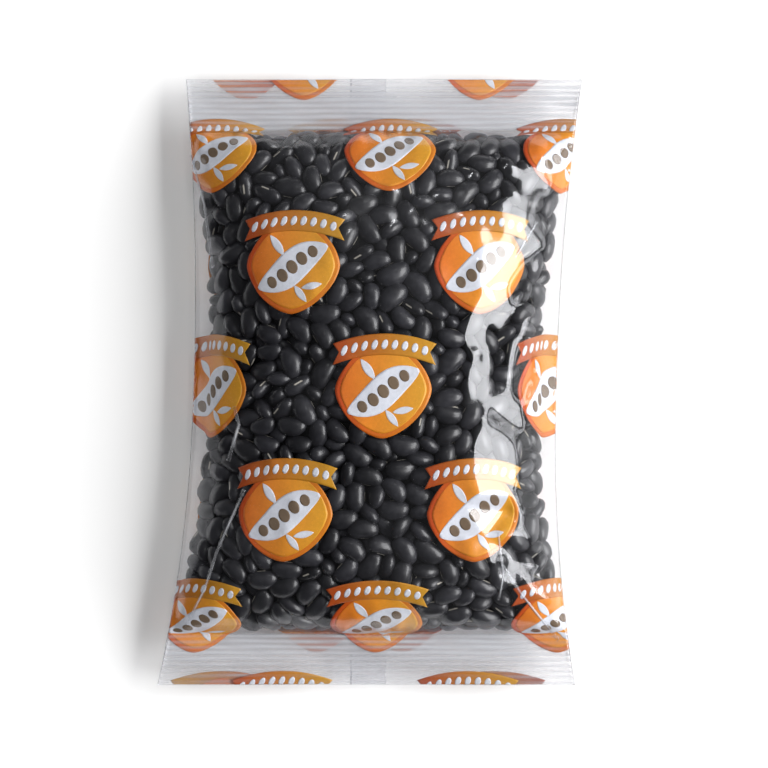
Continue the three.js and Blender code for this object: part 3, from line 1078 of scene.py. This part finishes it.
class BEANBAG_OT_beans(bpy.types.Operator):
    """Fill the bag with loose beans: pack them all, and draw those near the film"""

    bl_idname = "bean_bag.beans"
    bl_label = "Beans"

    def execute(self, context):
        sizes = measures(settings().beans)
        form = Form(measures(settings().bag))
        centre, frames, half = shared["beans"] = packed_beans(form, sizes)
        shown = depth_in_bag(form, centre) < SHOWN_DEPTH
        centre, frames, half = centre[shown], frames[shown], half[shown]
        rng = np.random.default_rng(sizes.seed + 1)
        count = len(centre)
        flip = rng.choice([-1, 1], count)
        frames = frames * np.stack([np.ones(count), flip, flip], -1)[:, :, None]
        local = bean_points(half, rng.uniform(*BEND_RANGE, count) * BEAN_BEND, BEAN_DENT)
        points = centre[:, None] + np.einsum("nkj,nji->nki", local, frames)
        quads, fans = bean_faces()
        start = (np.arange(count) * local.shape[1])[:, None, None]
        hand = (np.linalg.det(frames) < 0)[:, None, None]
        quads = np.where(hand, quads[:, ::-1], quads) + start
        fans = np.where(hand, fans[:, ::-1], fans) + start
        piece = new_mesh("beans", points.reshape(-1, 3), quads, fans)
        tone = rng.normal(1, TONE_SPREAD, count).clip(*TONE_RANGE)
        tone, scar = np.repeat(tone, local.shape[1]), np.tile(scar_shares(), count)
        dress(piece, bean_material(settings().colours), "bean", tone=tone, scar=scar)
        return {"FINISHED"}


class BEANBAG_OT_core(bpy.types.Operator):
    """Fill the middle of the bag, where no bean shows, with one body darkened as painted shade"""

    bl_idname = "bean_bag.core"
    bl_label = "Core"

    def execute(self, context):
        form = Form(measures(settings().bag))
        seam = form.bag.seam
        U, V = (np.sin(share * np.pi / 2) for share in square(CORE_COLUMNS, CORE_ROWS))
        y = V * (form.inner - CORE_INSET)
        x = form.centre(y) + U * (form.bean_half(y) - CORE_INSET)
        rim = (np.abs(U) == 1) | (np.abs(V) == 1)
        top = np.where(rim, seam, np.maximum(form.top(x, y) - CORE_INSET, seam + CORE_LEAST))
        low = np.where(rim, seam, np.minimum(form.under(x, y) + CORE_INSET, seam - CORE_LEAST))
        points, quads, _ = closed_pair(x, y, top, low)
        piece = new_mesh("beans_within", points, quads)
        # Darker than any bean: painted shade
        tone, scar = np.full(len(points), CORE_SHADE_TONE), np.zeros(len(points))
        dress(piece, bpy.data.materials["black_bean_seed_coat"], "bean", tone=tone, scar=scar)
        return {"FINISHED"}


class BEANBAG_OT_film(bpy.types.Operator):
    """Drape the film over the beans and crimp its ends"""

    bl_idname = "bean_bag.film"
    bl_label = "Film"

    def execute(self, context):
        form = Form(measures(settings().bag))
        sheet = Sheet(form.bag.bottom / 2, form.half)
        rng = np.random.default_rng(settings().beans.seed + 2)
        seam = form.seam(sheet.X, sheet.Y)
        films = {}
        for side in (1, -1):
            tops = bean_tops(sheet, shared["beans"], side)
            films[side] = drape(form, sheet, tops, seam, side, rng)
        films[-1] = np.maximum(films[-1], BACK_LIFT)
        shared["print"] = Print(form, sheet, films[1], films[-1])
        X, Y = film_grid(form)
        rib = ribs(form, X, Y)
        pressed_in = {1: 0, -1: np.abs(Y) > form.inner}
        skins = [
            sheet.read(films[side], X, Y) + form.bag.rib_height * (rib - pressed_in[side])
            for side in (1, -1)
        ]
        points, quads, back = closed_pair(X, Y, *skins)
        piece = new_mesh("film", points, quads)
        # Milk of the seals: partly real haze, partly painted shade on the ribs
        front_milk, back_milk = seal_milk(form, Y, rib)
        milk = np.empty(len(points))
        milk[back] = back_milk
        milk[: front_milk.size] = front_milk.ravel()
        dress(piece, film_material(), "film", milk=milk)
        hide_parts(NODE)
        return {"FINISHED"}


class BEANBAG_OT_seam(bpy.types.Operator):
    """Fold the lap seam flat along the middle of the back"""

    bl_idname = "bean_bag.seam"
    bl_label = "Back seam"

    def execute(self, context):
        form = Form(measures(settings().bag))
        sheet, films = shared["print"].sheet, shared["print"].films
        across = np.concatenate([[-1, -LAP_EDGE], np.linspace(-LAP_BESIDE, 1, LAP_COLUMNS)])
        x = LAP_PLACE + LAP_WIDTH / 2 * across
        y = np.linspace(-form.half, form.half, LAP_ROWS + 1)
        X, Y = np.meshgrid(x, y, indexing="ij")
        crimped = np.clip((np.abs(Y) - form.inner) / LAP_RAMP, 0, 1)
        outside = sheet.read(films[-1], X, Y) - LAP_GAP - form.bag.rib_height * crimped
        points, quads, _ = closed_pair(X, Y, outside, outside - LAP_THICKNESS)
        piece = new_mesh("back_seam", points, quads)
        edge = points[:, 0] < (x[1] + x[2]) / 2
        sealed = np.abs(points[:, 1]) > form.inner
        milk = np.where(edge, LAP_EDGE_MILK, LAP_MILK) * sealed
        dress(piece, bpy.data.materials["cast_polypropylene_film"], "film", milk=milk)
        return {"FINISHED"}


class BEANBAG_OT_folds(bpy.types.Operator):
    """Pinch the slack film into sharp folds"""

    bl_idname = "bean_bag.folds"
    bl_label = "Folds"

    def execute(self, context):
        height = partial(shared["print"].sheet.read, shared["print"].films[1])
        tents = [fold_tent(height, *fold) for fold in FOLDS]
        starts = np.cumsum([0] + [len(points) for points, _, _ in tents])
        points = np.concatenate([points for points, _, _ in tents])
        quads = np.concatenate([quads + start for start, (_, quads, _) in zip(starts, tents)])
        piece = new_mesh("film_folds", points, quads)
        # Milk of the folds, partly a painted highlight along each crest
        milk = np.concatenate([milk for _, _, milk in tents])
        dress(piece, bpy.data.materials["cast_polypropylene_film"], "film", milk=milk)
        return {"FINISHED"}


class BEANBAG_OT_inks(bpy.types.Operator):
    """Print the film: a soft diamond with a pod of beans, and a band with a row of ovals"""

    bl_idname = "bean_bag.inks"
    bl_label = "Inks"

    def execute(self, context):
        c = settings().colours
        white = [pod(), *(leaf(*values) for values in LEAVES), *band_dots()]
        # From the innermost ink to the one nearest to the film
        inks = (
            ("rim", [badge(BADGE)], c.ember, c.tangerine, "ink_orange"),
            ("badge", [badge(BADGE - RIM)], c.orange, c.amber, "ink_orange"),
            ("band", [ribbon()], c.rust, c.gold, "ink_brown"),
            ("white", white, c.white, c.white, "ink_white"),
            ("brown", pod_beans(), c.brown, c.brown, "ink_brown"),
        )
        for layer, (name, shapes, left, right, slot) in enumerate(inks):
            depth = INK_LAYER * (len(inks) + 1 - layer)
            piece = ink_piece("ink_" + name, shared["print"], shapes, depth)
            dress(piece, ink_material("flexo_ink_" + name, left, right), slot)
        return {"FINISHED"}


# The stage. Lengths are millimetres, and the camera's frame is the photo's width at the scale
# that the beans give

FLOOR_HALF, FLOOR_DROP = 3000, 0.05
PICTURE_WIDTH, PIXEL = 768, 0.35
CAMERA_PLACE, FRAMED_HEIGHT = (5.0, -0.7, 1200.0), 20.0
SENSOR = 36.0

# Lamps: turn and lift in degrees, distance, width and height, glow, and whether gloss shows them
LAMPS = (
    ("softbox_right", 0, 36, 2200, (2100, 1150), 10.5, True),
    ("softbox_low", 4, 12, 2200, (1500, 300), 6.0, True),
    ("small_lamp", 75, 58, 1300, (50, 50), 70.0, True),
    ("fill_above", 165, 70, 2200, (2400, 2400), 1.4, False),
)


def light_of_day(tree):
    """A dim room: light rises smoothly towards +Y, a little towards -X, and by a power towards
    the horizon. It is nearly dark straight above, so flat film shows what lies under it."""
    way = node(tree, "SeparateXYZ", [node(tree, "TexCoord", output="Generated")]).node.outputs
    smooth = {"interpolation_type": "SMOOTHSTEP"}
    back = node(tree, "MapRange", [way["Y"], -0.08, 0.7, 0.02, 1.1], **smooth)
    side = node(tree, "MapRange", [way["X"], -0.45, -1.0, 0.0, 0.15], **smooth)
    low = node(tree, "Math", [1.0, way["Z"]], operation="SUBTRACT")
    rise = node(tree, "Math", [low, 4.0], operation="POWER")
    edge = node(tree, "Math", [rise, 0.4], operation="MULTIPLY")
    far = node(tree, "Math", [back, side], operation="ADD")
    glow = node(tree, "Math", [edge, far], operation="ADD")
    tree.links.new(glow, tree.nodes["Background"].inputs["Strength"])


def lamp_object(name, turn, lift, far, size, glow, mirrored):
    """A soft lamp at some turn and lift about the bag, facing it, with one glow for each area."""
    light = bpy.data.lights.new(name, "AREA")
    light.shape = "RECTANGLE"
    light.size, light.size_y = (side * MM for side in size)
    light.energy = glow * math.pi * light.size * light.size_y
    lamp = bpy.data.objects.new(name, light)
    a, e = math.radians(turn), math.radians(lift)
    way = Vector((math.cos(a) * math.cos(e), math.sin(a) * math.cos(e), math.sin(e)))
    lamp.location = way * far * MM
    lamp.rotation_euler = (-lamp.location).to_track_quat("-Z", "Y").to_euler()
    lamp.visible_glossy = mirrored
    return lamp


class BEANBAG_OT_stage(bpy.types.Operator):
    """Set a white floor, soft lamps and the camera that looks down on the bag"""

    bl_idname = "bean_bag.stage"
    bl_label = "Stage"

    def execute(self, context):
        scene = context.scene
        corners = np.array([[-1, -1, 0], [1, -1, 0], [1, 1, 0], [-1, 1, 0]]) * FLOOR_HALF
        floor = new_mesh("floor", corners - [0, 0, FLOOR_DROP], [[0, 1, 2, 3]], smooth=False)
        floor.data.materials.append(floor_material(settings().colours))
        world = bpy.data.worlds.new("studio")
        world.use_nodes = True
        light_of_day(world.node_tree)
        scene.world = world
        for values in LAMPS:
            scene.collection.objects.link(lamp_object(*values))
        camera = bpy.data.cameras.new("camera")
        camera.sensor_width = SENSOR
        camera.lens = SENSOR * (CAMERA_PLACE[2] - FRAMED_HEIGHT) / (PICTURE_WIDTH * PIXEL)
        eye = bpy.data.objects.new("camera", camera)
        eye.location = Vector(CAMERA_PLACE) * MM
        scene.collection.objects.link(eye)
        scene.camera = eye
        scene.view_settings.view_transform = "Standard"
        return {"FINISHED"}


class BEANBAG_PT_panel(bpy.types.Panel):
    """Lists the pieces of the bag"""

    bl_idname = "BEANBAG_PT_panel"
    bl_label = "Bean bag"
    bl_space_type = "VIEW_3D"
    bl_region_type = "UI"
    bl_category = "Bean bag"

    def draw(self, context):
        for operator in OPERATORS:
            self.layout.operator(operator.bl_idname)


OPERATORS = (
    BEANBAG_OT_beans,
    BEANBAG_OT_core,
    BEANBAG_OT_film,
    BEANBAG_OT_seam,
    BEANBAG_OT_folds,
    BEANBAG_OT_inks,
    BEANBAG_OT_stage,
)
CLASSES = (BagSizes, BeanSizes, Colours, BeanBag, *OPERATORS, BEANBAG_PT_panel)


def register():
    """Makes the classes and the settings known to Blender."""
    for kind in CLASSES:
        bpy.utils.register_class(kind)
    bpy.types.Scene.bean_bag = PointerProperty(type=BeanBag)


def unregister():
    """Takes the settings and the classes away again."""
    del bpy.types.Scene.bean_bag
    for kind in reversed(CLASSES):
        bpy.utils.unregister_class(kind)


def main():
    """Builds the bag and its stage."""
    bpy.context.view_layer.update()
    register()
    for operator in OPERATORS:
        group, name = operator.bl_idname.split(".")
        getattr(getattr(bpy.ops, group), name)()


if __name__ == "__main__":
    main()
